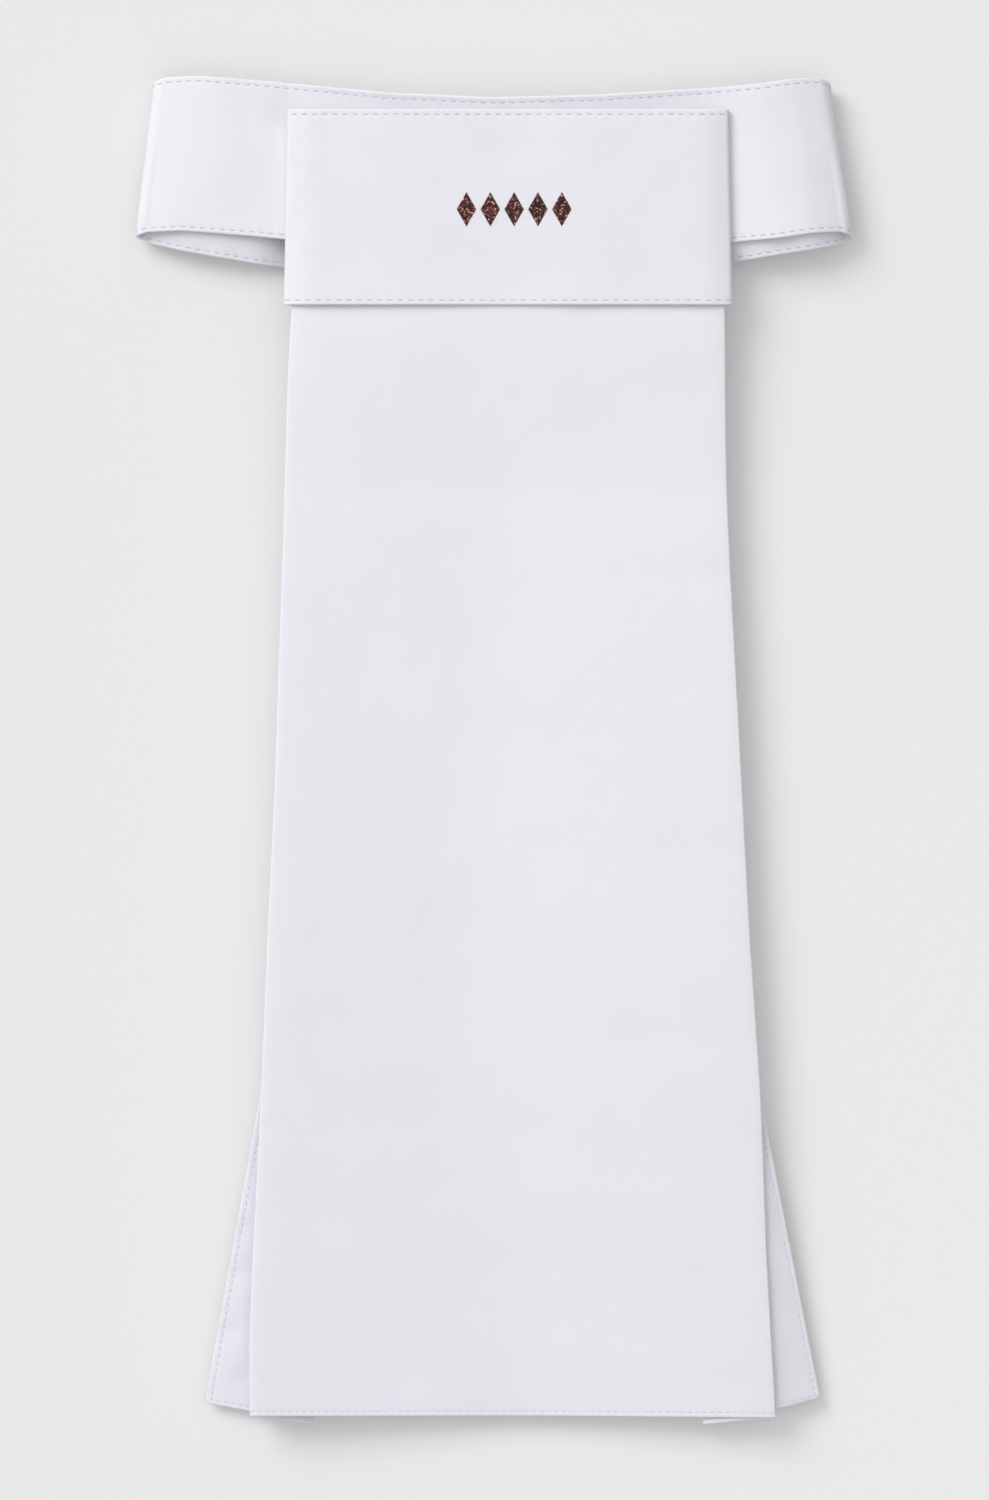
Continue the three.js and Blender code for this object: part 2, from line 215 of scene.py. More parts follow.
# Fall: one sheet with a pleat turned under along each side. left and right are the outer folds of
# the front panel, low and the two fronts the heights of the lowest layer and of the front panel
# near its folds, and press is how far the folds themselves are pressed down. A soft valley of this
# depth runs down the panel at this share of its width. The last six are how far the lowest layer is
# lifted on each side: at its free edge, below the panel's fold and at its own inner fold. Above the
# wings, where the free edge is hidden, edge and fold are the same.
Section = namedtuple("Section", (
    "y left right low front_left front_right press valley depth"
    " left_edge right_edge left_fold right_fold left_inner right_inner"
), defaults=[0.0] * 6)
FALL_SECTIONS = [
    Section(168.0, -52.6, 60.4, 10.36, 11.46, 11.46, 0.35, 0.5, 0.0),
    Section(130.0, -53.4, 61.2, 10.36, 11.46, 11.46, 0.35, 0.5, 0.0),
    Section(119.5, -54.3, 62.1, 10.30, 11.42, 11.42, 0.35, 0.5, 0.1),
    Section(108.0, -55.1, 62.2, 8.6, 11.3, 11.3, 0.3, 0.5, 0.7),
    Section(96.0, -55.6, 62.3, 6.3, 10.8, 10.8, 0.2, 0.5, 1.5),
    Section(84.0, -55.9, 62.4, 4.3, 10.2, 10.2, 0.1, 0.5, 2.1),
    Section(70.0, -56.4, 62.7, 2.7, 9.7, 9.7, 0.0, 0.5, 2.7),
    Section(56.0, -56.7, 63.3, 1.6, 9.6, 9.8, 0.0, 0.5, 2.9),
    Section(40.0, -57.3, 64.1, 0.9, 9.5, 9.8, 0.0, 0.48, 3.2),
    Section(20.0, -58.0, 65.2, 0.65, 9.5, 9.8, 0.0, 0.46, 3.4),
    Section(-10.0, -59.0, 66.8, 0.65, 9.5, 9.8, 0.0, 0.44, 3.6, 0.5, 2.5, 0.5, 2.5, 0.0, 0.0),
    Section(-50.0, -60.9, 68.9, 0.65, 9.5, 9.8, 0.0, 0.43, 3.8, 1.6, 5.0, 1.6, 5.0, 0.0, 0.4),
    Section(-92.0, -62.6, 71.8, 0.65, 9.6, 9.7, 0.0, 0.43, 4.0, 2.8, 6.2, 2.8, 6.2, 0.0, 1.8),
    Section(-121.0, -64.1, 72.9, 0.65, 9.7, 9.4, 0.0, 0.44, 4.3, 3.4, 5.4, 3.2, 6.8, 0.6, 3.4),
    Section(-135.0, -64.9, 73.4, 0.65, 9.8, 9.2, 0.0, 0.47, 4.6, 3.2, 4.4, 3.0, 6.6, 1.4, 4.2),
    Section(-160.0, -65.8, 74.8, 0.65, 10.0, 9.0, 0.0, 0.51, 5.0, 2.6, 3.2, 2.5, 6.3, 3.0, 4.8),
    Section(-179.0, -65.6, 75.9, 0.65, 10.2, 8.8, 0.0, 0.53, 5.3, 1.8, 2.4, 1.9, 6.0, 4.5, 5.2),
]
FALL_TOP = FALL_SECTIONS[0].y
FALL_HEM = FALL_SECTIONS[-1].y
SECTION_REACH = 5.0

# Columns of the fall's grid in each stretch of cloth: the lowest layer beyond the seam, a fold's
# bend, the turned-under layer and the front panel.
LOWEST_POINTS = 14
BEND_POINTS = 8
TURNED_POINTS = 22
PANEL_POINTS = 72

# How far the panel rolls down at its folds, over what width, and how far in its waves reach their
# full height.
FOLD_ROLL = 0.30
FOLD_ROLL_WIDTH = 2.4
CALM_WIDTH = 8.0

# Where the turned-under layers end, from the top of the fall to its hem: x at both, and how far
# each line's lower end passes the front hem.
FoldLine = namedtuple("FoldLine", "top hem below")
LEFT_EDGE = FoldLine(-15.9, -78.0, -2.9)
LEFT_INNER = FoldLine(-5.4, -48.9, 2.3)
RIGHT_INNER = FoldLine(6.2, 56.4, 2.0)
RIGHT_EDGE = FoldLine(19.5, 88.0, -4.6)

# How far the hem hangs lower at the panel's right fold than at its left, and the radius of the
# corners of the free edges at the hem.
HEM_SLANT = 0.5
WING_CORNER = 1.6

# Where the waves of the lowest layer start and where they are full, down the fall.
WING_WAVES_START = 30.0
WING_WAVES_FULL = -20.0

# Small dents in the left free edge of the lowest layer: their places, depth and reach.
DENT_PLACES = [(-67.6, -129.5), (-68.4, -141.1), (-71.0, -156.5), (-68.4, -170.0)]
DENT_DEPTH = 0.55
DENT_REACH = 2.6

# Short creases that run into the front panel from its right fold: depth, and reach up and down the
# fold and in from it.
Crease = namedtuple("Crease", "y depth reach_along reach_in")
CREASES = [Crease(47.0, 0.50, 3.5, 11.0), Crease(-27.0, 0.35, 4.5, 13.0), Crease(-79.5, 0.30, 5.0, 13.0)]

# Printed row of lozenges on the cuff.
LOZENGE_COUNT = 5
LOZENGE_WIDTH = 5.2
LOZENGE_HEIGHT = 9.2
LOZENGE_PITCH = 6.4
LOZENGE_X = 5.4
LOZENGE_Y = 145.4
PRINT_THICKNESS = 0.12
PRINT_CLEARANCE = 0.02
FLAKE_COUNT = 150
FLAKE_RADIUS = 0.21
FLAKE_TILT = 0.3


def mix(a, b, share):
    return a + (b - a) * share


def unit(vectors):
    return vectors / np.linalg.norm(vectors, axis=-1, keepdims=True)


def smooth_step(low, high, value):
    share = np.clip((value - low) / (high - low), 0, 1)
    return share * share * (3 - 2 * share)


def bump(value, centre, reach):
    return np.exp(-(((value - centre) / reach) ** 2))


def ripple(x, y, waves):
    """Gentle waves of about one size in all directions, between about -1 and 1."""
    rng = np.random.default_rng(waves.seed)
    total = np.zeros(np.broadcast(x, y).shape)
    count = 9
    for _ in range(count):
        angle = rng.uniform(0, math.pi)
        length = waves.size * rng.uniform(0.7, 1.5)
        phase = rng.uniform(0, 2 * math.pi)
        total += np.sin(2 * math.pi * (x * math.cos(angle) + y * math.sin(angle)) / length + phase)
    return total / math.sqrt(count)


def values_at(rows, places, reach):
    """Each named value of a table at these places: straight between its rows, then smoothed."""
    rows = sorted(rows)
    keys = [row[0] for row in rows]
    offsets = reach * np.linspace(-1.8, 1.8, 19)
    weight = bump(offsets, 0, reach)
    spread = np.clip(places[..., None] + offsets, keys[0], keys[-1])
    values = {}
    for name in rows[0]._fields[1:]:
        column = np.interp(spread, keys, [getattr(row, name) for row in rows])
        values[name] = (column * weight).sum(axis=-1) / weight.sum()
    return values


# Cloth as a grid

class Cloth:
    """A sheet on a grid of rows and columns.

    middle holds the points of its middle surface, flat each point's place on the flat cloth, and
    thickness its thickness there. A looped sheet joins its last row to its first.
    """

    def __init__(self, middle, flat, thickness, looped=False):
        self.middle = middle
        self.flat = flat
        self.thickness = thickness
        self.looped = looped
        along = line_directions(middle, 0, looped)
        across = line_directions(middle, 1, False)
        self.normal = unit(np.cross(along, across))

    def skin(self, side):
        return self.middle + side * self.normal * self.thickness[..., None] / 2


def line_directions(points, axis, looped):
    """The direction of the grid's lines at each point, halfway between the steps on both sides."""
    if looped:
        after = unit(np.roll(points, -1, axis=axis) - points)
        return unit(after + np.roll(after, 1, axis=axis))
    steps = unit(np.diff(points, axis=axis))
    first = np.take(steps, [0], axis=axis)
    last = np.take(steps, [-1], axis=axis)
    return unit(np.concatenate([first, steps], axis=axis) + np.concatenate([steps, last], axis=axis))


def edge_lines(cloth, seam):
    """Distances from an edge at which a grid needs lines: the rounded edge and the seam's groove."""
    rounded = cloth / 2 * (1 - np.cos(np.radians([0, 30, 60, 90])))
    groove = seam.inset + GROOVE_REACH * np.array([-1.4, -0.7, 0, 0.7, 1.4])
    return np.concatenate([rounded, groove, [seam.inset + 1.3, seam.inset + 2.6]])


def lines_between_edges(length, cloth, seam, spacing):
    """Distances from one edge to the other, closer together near both."""
    near = edge_lines(cloth, seam)
    count = math.ceil((length - 2 * near[-1]) / spacing)
    inside = np.linspace(near[-1], length - near[-1], count + 1)[1:-1]
    return np.concatenate([near, inside, (length - near)[::-1]])


def cloth_thickness(from_sides, from_ends, cloth, seam):
    """Thickness at these distances from the nearest side and the nearest end of a sheet."""
    def rounded(distance):
        return np.sqrt(1 - np.clip(1 - distance / (cloth / 2), 0, 1) ** 2)

    def relief(distance):
        allowance = ALLOWANCE_RISE * (1 - smooth_step(ALLOWANCE_WIDTH - 1, ALLOWANCE_WIDTH + 1, distance))
        return allowance - 2 * GROOVE_DEPTH * bump(distance, seam.inset, GROOVE_REACH)

    nearest = np.minimum(from_sides, from_ends)
    return (cloth + relief(nearest)) * rounded(from_sides) * rounded(from_ends)


def new_object(name, vertices, faces):
    mesh = bpy.data.meshes.new(name)
    mesh.from_pydata((np.asarray(vertices) * MM).tolist(), [], faces)
    mesh.validate()
    mesh.shade_smooth()
    piece = bpy.data.objects.new(name, mesh)
    bpy.context.scene.collection.objects.link(piece)
    return piece


def cloth_object(name, cloth):
    """One closed mesh: both skins, which meet at the sheet's edges, with the flat cloth as its UV."""
    rows, columns = cloth.middle.shape[:2]
    count = rows * columns
    upper = np.arange(count).reshape(rows, columns)
    lower = upper + count
    lower[:, [0, -1]] = upper[:, [0, -1]]
    if not cloth.looped:
        lower[[0, -1], :] = upper[[0, -1], :]
    vertices = np.concatenate([cloth.skin(1).reshape(-1, 3), cloth.skin(-1).reshape(-1, 3)])

    next_row = np.arange(rows if cloth.looped else rows - 1)[:, None] + 1
    column = np.arange(columns - 1)[None, :]
    corners = [(next_row - 1, column), (next_row, column), (next_row, column + 1), (next_row - 1, column + 1)]
    corners = [np.broadcast_arrays(i, j) for i, j in corners]
    faces = []
    places = []
    for index, order in ((upper, corners), (lower, corners[::-1])):
        faces.append(np.stack([index[i % rows, j] for i, j in order], axis=-1).reshape(-1, 4))
        places.append(np.stack([cloth.flat[i, j] for i, j in order], axis=-2).reshape(-1, 2))

    faces = np.concatenate(faces)
    used, faces = np.unique(faces, return_inverse=True)
    piece = new_object(name, vertices[used], faces.reshape(-1, 4).tolist())
    layer = piece.data.uv_layers.new(name="cloth")
    layer.data.foreach_set("uv", (np.concatenate(places) * MM).ravel())
    return piece


# Thread

def path_lengths(points):
    return np.concatenate([[0], np.cumsum(np.linalg.norm(np.diff(points, axis=0), axis=1))])


def stitch_puffs(middle, from_sides, seam, looped):
    """Thickness added between the stitches along both sides of a strip, and taken away under them."""
    rows, columns = middle.shape[:2]
    along = np.arange(rows + 1) % rows if looped else np.arange(SEAM_LINE, rows - SEAM_LINE)
    puffs = np.zeros((rows, columns))
    halfway = columns // 2
    for column, half in ((SEAM_LINE, slice(halfway)), (columns - 1 - SEAM_LINE, slice(halfway, None))):
        lengths = path_lengths(middle[along, column])
        turns = lengths / lengths[-1] * round(lengths[-1] / seam.pitch)
        puffs[along, half] = np.cos(2 * math.pi * turns)[:, None]
    return PUFF_HEIGHT * puffs * bump(from_sides, seam.inset, PUFF_REACH)


def stitches(lengths, points, normals, seam):
    """Vertices and faces of a row of stitches along a line on the cloth."""
    rings = 7
    sides = 6
    count = round(lengths[-1] / seam.pitch)
    pitch = lengths[-1] / count
    along = np.linspace(-1, 1, rings)
    places = (np.arange(count)[:, None] + 0.5 + STITCH_HALF_LENGTH * along) * pitch

    def at(values):
        return np.stack([np.interp(places, lengths, values[:, k]) for k in range(3)], axis=-1)

    normal = unit(at(normals))
    centre = at(points) + normal * (seam.thread * (STITCH_HEIGHT - STITCH_DROP * along ** 4))[:, None]
    direction = unit(np.gradient(centre, axis=1))
    side = unit(np.cross(direction, normal))
    up = np.cross(side, direction)
    angle = np.arange(sides) * 2 * math.pi / sides
    radius = seam.thread * np.sqrt(np.clip(1.05 - along ** 8, 0.1, 1))
    ring = np.cos(angle)[:, None] * up[:, :, None] + np.sin(angle)[:, None] * side[:, :, None]
    vertices = (centre[:, :, None] + radius[:, None, None] * ring).reshape(-1, 3)

    base = np.arange(count)[:, None, None] * rings * sides
    r = np.arange(rings - 1)[None, :, None] * sides
    a = np.arange(sides)[None, None, :]
    b = (a + 1) % sides
    quads = np.stack([base + r + a, base + r + b, base + r + sides + b, base + r + sides + a], axis=-1)
    faces = quads.reshape(-1, 4).tolist()
    for start in range(0, count * rings * sides, rings * sides):
        faces.append(list(range(start + sides - 1, start - 1, -1)))
        last = start + (rings - 1) * sides
        faces.append(list(range(last, last + sides)))
    return vertices, faces


def thread_object(name, lines, seam):
    """All stitches of a piece, along lines of (lengths, points, normals)."""
    vertices = []
    faces = []
    for line in lines:
        new_vertices, new_faces = stitches(*line, seam)
        start = sum(len(v) for v in vertices)
        vertices.append(new_vertices)
        faces.extend([[start + k for k in face] for face in new_faces])
    return new_object(name, np.concatenate(vertices), faces)


def seam_lines(cloth, path):
    """A seam's lines on both skins, through grid places given as (row, column) arrays."""
    rows, columns = path
    if cloth.looped:
        rows = rows % len(cloth.middle)
    lengths = path_lengths(cloth.middle[rows, columns])
    return [
        (lengths, cloth.skin(side)[rows, columns], side * cloth.normal[rows, columns]) for side in (1, -1)
    ]


# Strips that run through straight stretches and arcs seen along Y

class StripPath:
    """The middle line of a strip. Each point holds x, z, the share of the front layer, and length."""

    def __init__(self, x, z, heading, share, spacing):
        self.x = x
        self.z = z
        self.heading = heading
        self.length = 0.0
        self.spacing = spacing
        self.points = [(x, z, share, 0.0)]

    def step(self, length, share):
        self.x += math.cos(self.heading) * length
        self.z += math.sin(self.heading) * length
        self.length += length
        self.points.append((self.x, self.z, share, self.length))

    def straight(self, length, share):
        count = math.ceil(length / self.spacing)
        for _ in range(count):
            self.step(length / count, share)
        return self

    def arc(self, radius, turn, share):
        """turn is positive to the left. The share runs from its last value to the one given."""
        start = self.points[-1][2]
        count = max(8, math.ceil(abs(turn) * radius / self.spacing))
        for i in range(1, count + 1):
            self.heading += turn / count / 2
            self.step(2 * radius * math.sin(abs(turn) / count / 2), mix(start, share, i / count))
            self.heading += turn / count / 2
        return self


def neck_band_cloth():
    """The strip's grid, along its path round the loop and across between its two edges."""
    spacing = BAND_SEAM.pitch / 4
    end_centre = BAND_HALF_LENGTH - BAND_CLOTH / 2 - BAND_END_RADIUS
    end_rise = BAND_END_RADIUS * (1 + math.cos(BAND_SHOULDER_ANGLE))
    swell_run = end_centre + BAND_END_RADIUS * math.sin(BAND_SHOULDER_ANGLE) - BAND_PRESSED_X
    slope = math.tan(BAND_SWELL_SLOPE)
    arc_run = math.sin(BAND_SHOULDER_ANGLE) + 2 * math.sin(BAND_SWELL_SLOPE)
    arc_rise = 2 * math.cos(BAND_SWELL_SLOPE) - math.cos(BAND_SHOULDER_ANGLE) - 1
    rise = BAND_FRONT_Z - BAND_BACK_Z - end_rise
    swell_radius = (rise + swell_run * slope) / (arc_rise + arc_run * slope)
    slope_length = (swell_run - swell_radius * arc_run) / math.cos(BAND_SWELL_SLOPE)
    swell_turn = BAND_SHOULDER_ANGLE + BAND_SWELL_SLOPE
    end_turn = BAND_SHOULDER_ANGLE - math.pi
    ramp_radius = STEP_UP / (1 - math.cos(RAMP_ANGLE))
    ramp_run = 2 * ramp_radius * math.sin(RAMP_ANGLE)
    path = (
        StripPath(OUTER_END_X, BAND_BACK_Z, math.pi, 0.0, spacing)
        .straight(OUTER_END_X + end_centre, 0.0)
        .arc(BAND_END_RADIUS, end_turn, 1.0)
        .arc(swell_radius, -swell_turn, 1.0)
        .straight(slope_length, 1.0)
        .arc(swell_radius, BAND_SWELL_SLOPE, 1.0)
        .straight(2 * BAND_PRESSED_X, 1.0)
        .arc(swell_radius, BAND_SWELL_SLOPE, 1.0)
        .straight(slope_length, 1.0)
        .arc(swell_radius, -swell_turn, 1.0)
        .arc(BAND_END_RADIUS, end_turn, 0.0)
        .straight(end_centre - RAMP_FOOT_X, 0.0)
        .arc(ramp_radius, -RAMP_ANGLE, 0.0)
        .arc(ramp_radius, RAMP_ANGLE, 0.0)
        .straight(RAMP_FOOT_X - ramp_run - INNER_END_X, 0.0)
    )
    x, z, share, length = (column[:, None] for column in np.array(path.points).T)
    ends = edge_lines(BAND_CLOTH, BAND_SEAM)
    keep = (length > ends[-1]) & (length < path.length - ends[-1])
    lengths = np.concatenate([ends, length[keep], (path.length - ends)[::-1]])[:, None]
    x, z, share = (np.interp(lengths, length[:, 0], values[:, 0]) for values in (x, z, share))

    across = lines_between_edges(BAND_WIDTH, BAND_CLOTH, BAND_SEAM, STRIP_SPACING)[None, :]
    edge = values_at(BAND_EDGES, x, BAND_EDGE_REACH)
    lean = np.where(x < 0, BAND_LEAN_LEFT, BAND_LEAN_RIGHT) * x / BAND_HALF_LENGTH
    place_x = x - np.sin(lean) * across
    place_y = mix(edge["back"], edge["front"], share) + np.cos(lean) * across
    waves = BAND_FRONT_WAVES.height * share * ripple(place_x, place_y, BAND_FRONT_WAVES)
    waves += BAND_BACK_WAVES.height * (1 - share) * (1 + ripple(place_x, place_y, BAND_BACK_WAVES))
    behind_cuff = (1 - smooth_step(*BAND_CURL_FROM_CUFF, np.abs(x - CUFF_CENTRE_X))) * share
    curled = np.clip(1 - (BAND_WIDTH - across) / BAND_TOP_CURL_WIDTH, 0, 1) ** 1.5
    waves += BAND_TOP_CURL * behind_cuff * curled
    hanging = np.clip(1 - across / BAND_HANGING_WIDTH, 0, 1) * np.clip(edge["back_rise"] / 4, 0, 1)
    back_rise = edge["back_rise"] * smooth_step(*BAND_BACK_RISE_ACROSS, across) - BAND_BACK_CURL * hanging
    waves += mix(back_rise, edge["front_rise"] * (1 - BAND_TWIST * across / BAND_WIDTH), share)
    dent = bump(place_x, BAND_DENT_X, BAND_DENT_REACH[0]) * bump(place_y, BAND_DENT_Y, BAND_DENT_REACH[1])
    waves -= BAND_DENT_DEPTH * share * dent
    middle = np.stack(np.broadcast_arrays(place_x, place_y, z + waves), axis=-1)

    from_sides = np.minimum(across, BAND_WIDTH - across)
    from_ends = np.minimum(lengths, path.length - lengths)
    thickness = cloth_thickness(from_sides, from_ends, BAND_CLOTH, BAND_SEAM)
    puffs = stitch_puffs(middle, from_sides, BAND_SEAM, looped=False)
    flat = np.stack(np.broadcast_arrays(lengths, across), axis=-1)
    return Cloth(middle, flat, thickness + puffs * (thickness > PUFF_LEAST_THICKNESS * BAND_CLOTH))


def cuff_cloth():
    """The cuff's grid, a closed strip that starts and ends at the middle of its back."""
    radius = CUFF_SIDE_RADIUS
    flat_width = CUFF_WIDTH - CUFF_CLOTH - 2 * radius
    path = (
        StripPath(0.0, CUFF_BACK_Z, math.pi, 0.0, CUFF_SEAM.pitch / 4)
        .straight(flat_width / 2, 0.0)
        .arc(radius, -math.pi, 1.0)
        .straight(flat_width, 1.0)
        .arc(radius, -math.pi, 0.0)
        .straight(flat_width / 2, 0.0)
    )
    x, z, share, length = (column[:, None] for column in np.array(path.points).T)
    height = CUFF_TOP_Y - CUFF_BOTTOM_Y
    across = lines_between_edges(height, CUFF_CLOTH, CUFF_SEAM, STRIP_SPACING)[None, :]
    place_x = CUFF_CENTRE_X + x * mix(1.0, CUFF_TOP_WIDTH / CUFF_WIDTH, across / height)
    place_y = CUFF_BOTTOM_Y + across + 0.0 * x
    from_side = np.clip(flat_width / 2 - np.abs(x), 0, CUFF_SIDE_REACH)
    swell = 1 - (1 - from_side / CUFF_SIDE_REACH) ** CUFF_SIDE_POWER
    front_rise = (CUFF_FRONT_Z - CUFF_BACK_Z - 2 * radius) * swell
    place_z = z + np.floor(share) * front_rise + share * cuff_front_relief(place_x, place_y)
    middle = np.stack(np.broadcast_arrays(place_x, place_y, place_z), axis=-1)[:-1]

    from_sides = np.minimum(across, height - across)
    far = np.full_like(length[:-1], height)
    thickness = cloth_thickness(from_sides, far, CUFF_CLOTH, CUFF_SEAM)
    puffs = stitch_puffs(middle, from_sides, CUFF_SEAM, looped=True)
    flat = np.stack(np.broadcast_arrays(length, across), axis=-1)
    thickness = thickness + puffs * (thickness > PUFF_LEAST_THICKNESS * CUFF_CLOTH)
    return Cloth(middle, flat, thickness, looped=True)


def cuff_front_relief(x, y):
    """The cuff's front dips over the gap between the pleats, flares at its bottom edge and puckers."""
    side = CUFF_WIDTH / 2 - np.abs(x - CUFF_CENTRE_X)
    gap = -CUFF_DIP * bump(x, CUFF_DIP_X, CUFF_DIP_REACH)
    flare = CUFF_FLARE * np.clip(1 - (y - CUFF_BOTTOM_Y) / CUFF_FLARE_REACH, 0, 1) ** 2
    pucker = np.sin(2 * math.pi * (y - PUCKER_SLOPE * x) / PUCKER_PITCH)
    puckers = PUCKER_HEIGHT * pucker * bump(x, PUCKER_X, PUCKER_REACH)
    waves = CUFF_WAVES.height * smooth_step(1.5, 8, side) * ripple(x, y, CUFF_WAVES)
    return gap + flare + puckers + waves


# The fall

def front_panel_height(x, y, section):
    """Height of the front panel, which hangs in a soft valley between its two folds."""
    left, right = section["left"], section["right"]
    share = (x - left) / (right - left)
    valley = section["valley"]
    slope = np.where(share < valley, share / valley, (1 - share) / (1 - valley))
    flank, rest = 0.8, 0.2
    rounded = flank + rest * (1 - (1 - (slope - flank) / rest) ** 2) * 0.5
    soft = np.where(slope > flank, rounded, slope)
    near_folds = np.exp(-(x - left) / FOLD_ROLL_WIDTH) + np.exp(-(right - x) / FOLD_ROLL_WIDTH)
    rolled = -(FOLD_ROLL + section["press"]) * near_folds
    calm = smooth_step(0, CALM_WIDTH, x - left) * smooth_step(0, CALM_WIDTH, right - x)
    waves = PANEL_WAVES.height * ripple(x, y, PANEL_WAVES)
    waves = waves + PANEL_SMALL_WAVES.height * ripple(x, y, PANEL_SMALL_WAVES)
    folds = mix(section["front_left"], section["front_right"], share)
    creases = sum(
        crease.depth * np.exp(-np.abs(y - crease.y) / crease.reach_along - (right - x) / crease.reach_in)
        for crease in CREASES
    )
    return folds + rolled - section["depth"] * soft + calm * waves - creases


def fall_cloth():
    """The fall's grid, down its length and across from its left free edge to its right one."""
    height = FALL_TOP - FALL_HEM
    down = lines_between_edges(height, FALL_CLOTH, FALL_SEAM, FALL_SPACING)
    y = FALL_TOP - down
    section = values_at(FALL_SECTIONS, y, SECTION_REACH)
    left, right, low = section["left"], section["right"], section["low"]
    share = down / height
    layer = FALL_CLOTH + LAYER_GAP
    radius = layer / 2
    reach = radius + FALL_CLOTH / 2

    def fold_line(line):
        return mix(line.top, line.hem, share), y - line.below * share

    def run(start, end, parts):
        """Points from start to end, whose coordinates are arrays with a value for each row."""
        return [tuple(mix(a, b, part) for a, b in zip(start, end)) for part in parts]

    def bend(start, side, up):
        """A half turn from start, to the left (side -1) or right (side 1), upwards or downwards."""
        turns = np.radians(180 / (BEND_POINTS + 1) * np.arange(1, BEND_POINTS + 1))
        x, row_y, z = start
        return [(x + side * radius * math.sin(t), row_y, z + up * radius * (1 - math.cos(t))) for t in turns]

    def half(side, outer, front, edge_line, inner_line, edge_lift, fold_lift, inner_lift):
        """The two turned-under layers of one side, from the free edge to the outer fold."""
        edge_x, edge_y = fold_line(edge_line)
        inner_x, inner_y = fold_line(inner_line)
        inner_x = inner_x + side * reach
        outer_x = outer - side * reach
        near_hem = np.clip(1 - (height - down) / WING_CORNER, 0, 1)
        edge_x = edge_x - side * WING_CORNER * (1 - np.sqrt(1 - near_hem ** 2))
        inner_z = low + inner_lift
        low_inner = (inner_x, inner_y, inner_z)
        turned_inner = (inner_x, inner_y, inner_z + layer)
        turned_outer = (outer_x, y, front - layer)
        width = np.abs(inner_x - edge_x)
        near = edge_lines(FALL_CLOTH, FALL_SEAM)
        places = run((edge_x, edge_y), (inner_x, inner_y), [distance / width for distance in near])
        places += run(places[-1], (inner_x, inner_y), np.linspace(0, 1, LOWEST_POINTS + 1)[1:])
        fold_x = side * np.minimum(side * outer_x, side * edge_x)
        visible = np.maximum(side * (edge_x - fold_x), 0.001)
        points = []
        for px, py in places:
            inside = np.clip((px - inner_x) / (fold_x - inner_x), 0, 1)
            outside = np.clip(side * (px - fold_x) / visible, 0, 1)
            lift = mix(inner_lift, fold_lift, inside) + (edge_lift - fold_lift) * outside
            points.append((px, py, low + lift))
        points += bend(low_inner, -side, 1)
        points += run(turned_inner, turned_outer, np.linspace(0, 1, TURNED_POINTS))
        points += bend(turned_outer, side, 1)
        return points, near

    left_half, near = half(
        -1, left, section["front_left"], LEFT_EDGE, LEFT_INNER,
        section["left_edge"], section["left_fold"], section["left_inner"],
    )
    right_half, _ = half(
        1, right, section["front_right"], RIGHT_EDGE, RIGHT_INNER,
        section["right_edge"], section["right_fold"], section["right_inner"],
    )
    panel = run((left + reach, y, 0.0), (right - reach, y, 0.0), np.linspace(0, 1, PANEL_POINTS))
    columns = left_half + panel + right_half[::-1]
    middle = np.stack([np.stack(np.broadcast_arrays(*point), axis=-1) for point in columns], axis=1)

    across = (middle[:, :, 0] - left[:, None]) / (right - left)[:, None]
    middle[:, :, 1] -= HEM_SLANT * (share ** 3)[:, None] * np.clip(across, 0, 1)

    first = len(left_half)
    last = first + len(panel)
    x = middle[:, first:last, 0]
    by_row = {name: values[:, None] for name, values in section.items()}
    middle[:, first:last, 2] = front_panel_height(x, y[:, None], by_row)
    settle_fold(middle, first, -1, middle[:, first, 2] - section["front_left"])
    settle_fold(middle, last - 1, 1, middle[:, last - 1, 2] - section["front_right"])
    add_wing_waves(middle, len(near))

    steps = np.linalg.norm(np.diff(middle[:, :, [0, 2]], axis=1), axis=-1)
    width = np.concatenate([np.zeros((len(y), 1)), np.cumsum(steps, axis=1)], axis=1)
    flat = np.stack([width, np.broadcast_to(down[:, None], width.shape)], axis=-1)
    from_sides = np.minimum(width, width[:, -1:] - width)
    from_ends = np.minimum(down, height - down)[:, None]
    thickness = cloth_thickness(from_sides, from_ends, FALL_CLOTH, FALL_SEAM)
    return Cloth(middle, flat, thickness)


def settle_fold(middle, column, side, fall):
    """Lowers a fold and the turned-under layer next to it as far as the panel's edge was lowered."""
    for step in range(1, BEND_POINTS + TURNED_POINTS + 1):
        past_bend = max(step - BEND_POINTS - 1, 0)
        part = 1 - past_bend / (TURNED_POINTS - 1)
        middle[:, column + side * step, 2] += fall * part ** 3


def add_wing_waves(middle, near):
    """Soft waves and dents of the lowest layers, which stand off the surface in places."""
    count = near + LOWEST_POINTS
    for columns in (slice(0, count), slice(-count, None)):
        x = middle[:, columns, 0]
        y = middle[:, columns, 1]
        lying = smooth_step(WING_WAVES_START, WING_WAVES_FULL, y)
        fade = np.linspace(1, 0, count) ** 0.5
        if columns.start != 0:
            fade = fade[::-1]
        waves = WING_WAVES.height * (1 + ripple(x, y, WING_WAVES)) * fade
        dents = sum(
            bump(x, dent_x, DENT_REACH) * bump(y, dent_y, DENT_REACH) for dent_x, dent_y in DENT_PLACES
        )
        middle[:, columns, 2] += lying * np.clip(waves, 0, None) - DENT_DEPTH * dents


